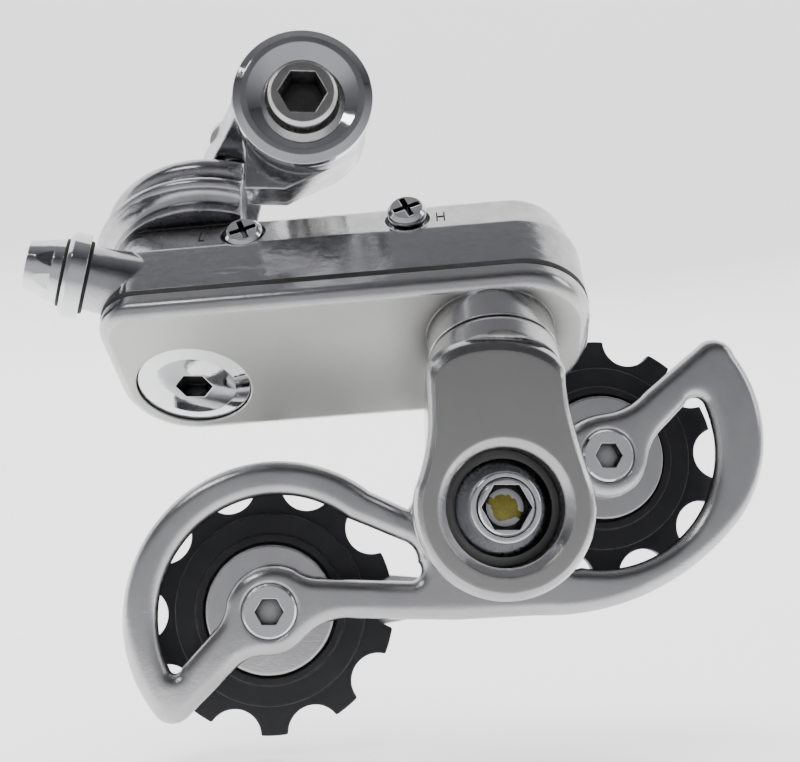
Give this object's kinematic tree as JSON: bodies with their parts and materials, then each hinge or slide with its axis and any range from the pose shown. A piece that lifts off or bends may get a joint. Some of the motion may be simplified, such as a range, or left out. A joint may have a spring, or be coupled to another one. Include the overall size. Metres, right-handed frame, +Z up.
{
  "type": "rear derailleur",
  "caption": "Bicycle rear derailleur with an enclosed slant linkage, a swinging two-loop cage with toothed jockey wheels, and a threaded hanger bolt.",
  "frame": {"origin": "on the axis of the hanger bolt, at the face that seats against the frame's hanger", "axes": "+X to the front of the bicycle, +Y inboard along the hanger thread, towards the wheel, +Z up"},
  "size_m": [0.1182, 0.049, 0.1037],
  "materials": {
    "polished_alloy": "polished",
    "satin_alloy": "satin",
    "plate_alloy": "satin",
    "chrome": "polished",
    "bolt_steel": "polished",
    "spring_steel": "satin",
    "bearing_bronze": "satin",
    "black_resin": "matt",
    "black_rubber": "matt"
  },
  "bodies": {
    "hanger": {"hanger_bolt": "bolt_steel", "hanger_washer": "bolt_steel", "hanger_circlip": "bolt_steel"},
    "base": {"base_knuckle": "polished_alloy", "hanger_cap": "chrome", "main_pivot_pin": "bolt_steel", "main_pivot_cap": "chrome", "link_pin_base": "bolt_steel", "link_clip": "bolt_steel", "cable_anchor_bolt": "bolt_steel", "cable_anchor_washer": "bolt_steel", "return_spring": "spring_steel"},
    "box": {"body_casting": "polished_alloy", "main_pivot_bushes": "bearing_bronze", "cover_gasket": "black_rubber", "cover_plate": "satin_alloy", "knuckle_pivot_bush": "bearing_bronze", "adjuster_collar": "chrome", "limit_insert_low": "black_resin", "limit_insert_high": "black_resin"},
    "adjuster": {"barrel_adjuster": "chrome"},
    "low_limit": {"limit_screw_low": "bolt_steel"},
    "high_limit": {"limit_screw_high": "bolt_steel"},
    "link": {"inner_link": "plate_alloy"},
    "knuckle": {"lower_knuckle": "satin_alloy", "knuckle_crank": "plate_alloy", "link_pin_knuckle": "bolt_steel", "knuckle_seal": "black_rubber", "cage_pivot_bush": "bearing_bronze", "cage_spring": "spring_steel"},
    "cage": {"outer_cage_plate": "polished_alloy", "inner_cage_plate": "plate_alloy", "cage_pivot_bolt": "bolt_steel", "cage_cone_nut": "chrome", "cage_stop_pin": "bolt_steel", "tension_wheel_bolt": "bolt_steel", "tension_wheel_bush": "bearing_bronze", "tension_front_shield": "satin_alloy", "tension_rear_shield": "satin_alloy", "guide_wheel_bolt": "bolt_steel", "guide_wheel_bush": "bearing_bronze", "guide_front_shield": "satin_alloy", "guide_rear_shield": "satin_alloy"},
    "tension_wheel": {"tension_wheel": "black_resin"},
    "guide_wheel": {"guide_wheel": "black_resin"}
  },
  "joints": [
    {"name": "hanger_swivel", "type": "hinge", "parent": "hanger", "child": "base", "pos_m": [0, 0, 0], "axis": [0, 1, 0], "range_deg": [0, 30]},
    {"name": "box_swing", "type": "hinge", "parent": "base", "child": "box", "pos_m": [-0.0167, 0.0223, -0.01394], "axis": [0, 0.5299, 0.848], "range_deg": [0, 36]},
    {"name": "link_swing", "type": "hinge", "parent": "base", "child": "link", "pos_m": [-0.01618, 0.00664, -0.02773], "axis": [0, 0.5299, 0.848], "range_deg": [0, 36]},
    {"name": "knuckle_swing", "type": "hinge", "parent": "box", "child": "knuckle", "pos_m": [0.02786, -0.00457, -0.03252], "axis": [0, 0.5299, 0.848], "range_deg": [-36, 0]},
    {"name": "cage_pivot", "type": "hinge", "parent": "knuckle", "child": "cage", "pos_m": [0.0279, 0, -0.0575], "axis": [0, -1, 0], "range_deg": [0, 32]},
    {"name": "tension_wheel_spin", "type": "hinge", "parent": "cage", "child": "tension_wheel", "pos_m": [-0.0049, 0.0202, -0.0732], "axis": [0, 1, 0], "continuous": true},
    {"name": "guide_wheel_spin", "type": "hinge", "parent": "cage", "child": "guide_wheel", "pos_m": [0.0498, 0.0202, -0.0485], "axis": [0, 1, 0], "continuous": true},
    {"name": "adjuster_turn", "type": "hinge", "parent": "box", "child": "adjuster", "pos_m": [-0.0323, 0.0004, -0.02313], "axis": [-0.9563, -0.2479, 0.1549], "continuous": true},
    {"name": "low_limit_turn", "type": "hinge", "parent": "box", "child": "low_limit", "pos_m": [-0.00888, 0.00137, -0.01678], "axis": [-0.1392, -0.8398, 0.5248], "continuous": true},
    {"name": "high_limit_turn", "type": "hinge", "parent": "box", "child": "high_limit", "pos_m": [0.01573, -0.00242, -0.01441], "axis": [-0.1392, -0.8398, 0.5248], "continuous": true}
  ],
  "couplings": [
    {"joint": "link_swing", "follows": "box_swing", "ratio": 1},
    {"joint": "knuckle_swing", "follows": "box_swing", "ratio": -1}
  ]
}
